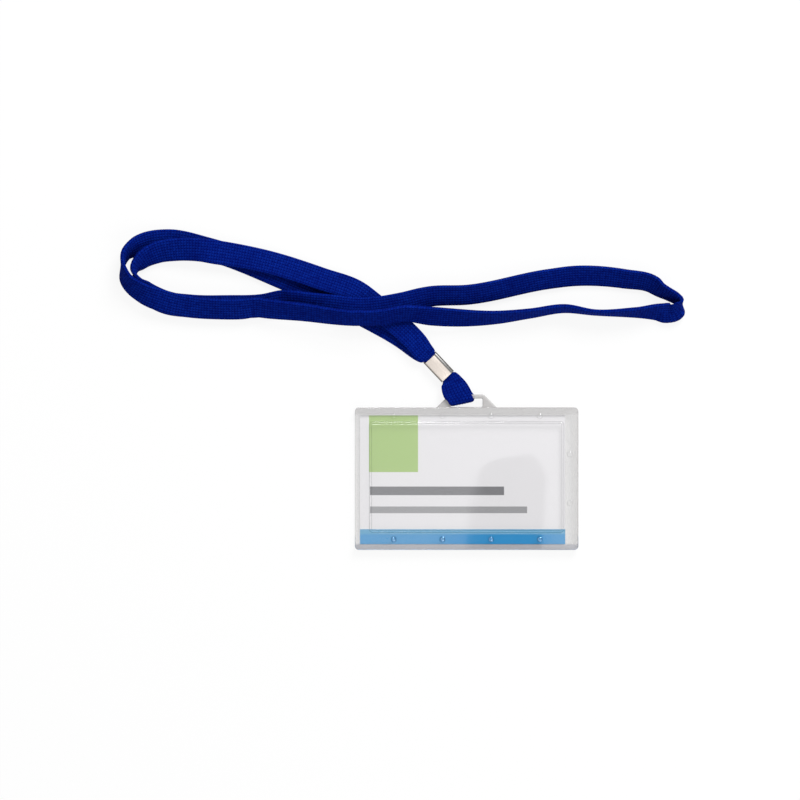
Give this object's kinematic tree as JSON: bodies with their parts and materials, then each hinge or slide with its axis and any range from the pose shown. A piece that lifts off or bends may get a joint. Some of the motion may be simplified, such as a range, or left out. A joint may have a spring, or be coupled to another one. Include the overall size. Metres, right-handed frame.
{
  "type": "lanyard with card holder",
  "caption": "Flat knit neck lanyard with a folded metal crimp and an end loop through the lug of a rigid clear card holder, with a raised window and a side-loading insert card.",
  "frame": {"origin": "on the table, under the middle of the box of the holder and its lug", "axes": "+X along the card away from its open end, +Y up the card towards the lug, +Z out of the card's printed face"},
  "size_m": [0.2346, 0.1333, 0.0121],
  "materials": {
    "ribbon": "matt flat knit, royal blue",
    "crimp_metal": "bright plated, pressed",
    "frosted_plastic": "lightly frosted clear plastic",
    "clear_plastic": "clear, polished",
    "card_paper": "smooth white card with plain printed blocks"
  },
  "bodies": {
    "strap": {"neck_strap": "ribbon", "end_loop": "ribbon", "crimp_sleeve": "crimp_metal"},
    "holder": {"holder_back": "frosted_plastic", "holder_front": "clear_plastic"},
    "card": {"insert_card": "card_paper"}
  },
  "joints": [
    {"name": "holder_swing", "type": "hinge", "parent": "strap", "child": "holder", "pos_m": [0, 0.03145, 0.00225], "axis": [-1, 0, 0], "range_deg": [0, 110], "deforming": ["end_loop"]},
    {"name": "card_slide", "type": "slide", "parent": "holder", "child": "card", "axis": [-1, 0, 0], "range_m": [0, 0.08]}
  ]
}
